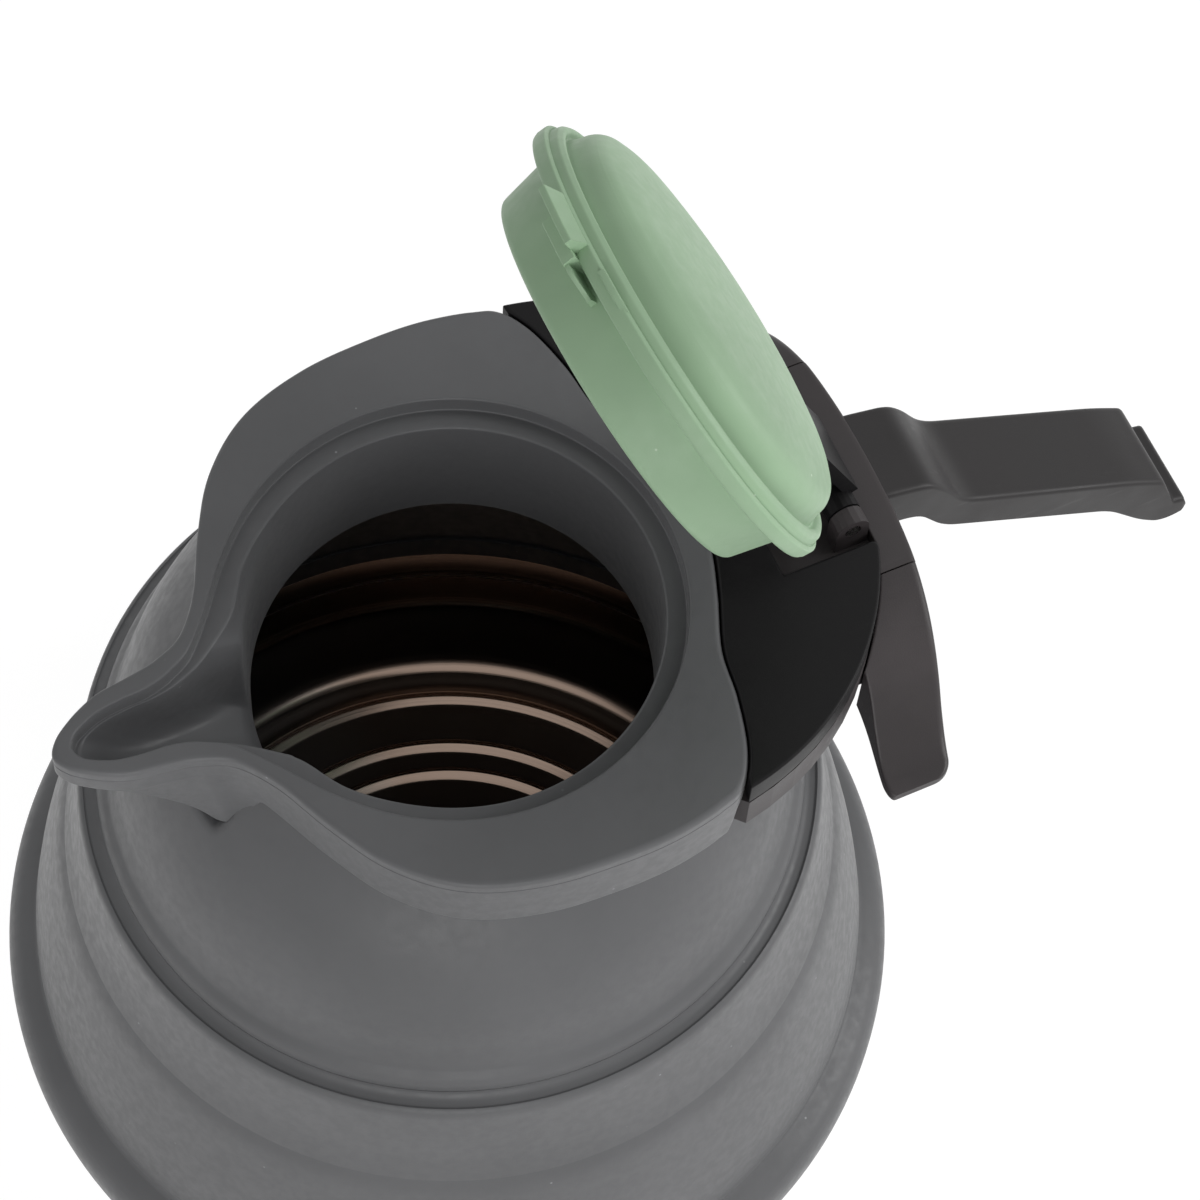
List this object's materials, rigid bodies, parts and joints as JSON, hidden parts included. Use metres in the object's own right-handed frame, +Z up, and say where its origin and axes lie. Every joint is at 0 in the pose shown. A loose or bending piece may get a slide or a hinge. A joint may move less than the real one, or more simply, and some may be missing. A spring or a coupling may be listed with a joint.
{
  "type": "collapsible kettle",
  "caption": "Stovetop kettle with a silicone body that folds flat in two stages over a steel pan, a pouring collar, a hinged lid and a rear handle.",
  "frame": {"origin": "centre of the underside of the base disc, on the surface that the kettle stands on", "axes": "+Z up through the mouth, +X towards the handle and the lid's hinge, -X towards the spout, +Y to the left of someone holding the handle and pouring away from themselves"},
  "size_m": [0.2768, 0.206, 0.3183],
  "materials": {
    "silicone_grey": "satin",
    "lid_green": "satin",
    "black_plastic": "satin",
    "steel": "polished"
  },
  "bodies": {
    "base": {"base_disc": "steel", "base_pan": "steel", "base_hoop": "steel", "body_foot_ring": "silicone_grey", "body_lower_fold": "silicone_grey"},
    "middle": {"body_middle_band": "silicone_grey", "body_upper_fold": "silicone_grey"},
    "top": {"body_shoulder": "silicone_grey", "spout_collar": "silicone_grey", "bracket_frame": "black_plastic", "bracket_cover": "black_plastic", "bracket_screw_1": "steel", "bracket_screw_2": "steel", "bracket_screw_3": "steel", "bracket_screw_4": "steel", "handle_bar": "black_plastic", "handle_wing_near": "black_plastic", "handle_wing_far": "black_plastic", "handle_screw_1": "steel", "handle_screw_2": "steel", "lid_hinge_pin": "steel"},
    "lid": {"lid_cover": "lid_green", "lid_core": "black_plastic", "lid_arm": "black_plastic", "lid_screw_1": "steel", "lid_screw_2": "steel"}
  },
  "joints": [
    {"name": "body_collapse", "type": "slide", "parent": "base", "child": "middle", "axis": [0, 0, 1], "range_m": [-0.078, 0], "deforming": ["body_lower_fold"]},
    {"name": "collar_collapse", "type": "slide", "parent": "middle", "child": "top", "axis": [0, 0, 1], "range_m": [-0.032, 0], "deforming": ["body_upper_fold"]},
    {"name": "lid_hinge", "type": "hinge", "parent": "top", "child": "lid", "pos_m": [0.07991, 0, 0.2013], "axis": [0, 1, 0], "range_deg": [-64, 26]}
  ],
  "couplings": [
    {"joint": "collar_collapse", "follows": "body_collapse", "ratio": 0.41}
  ]
}
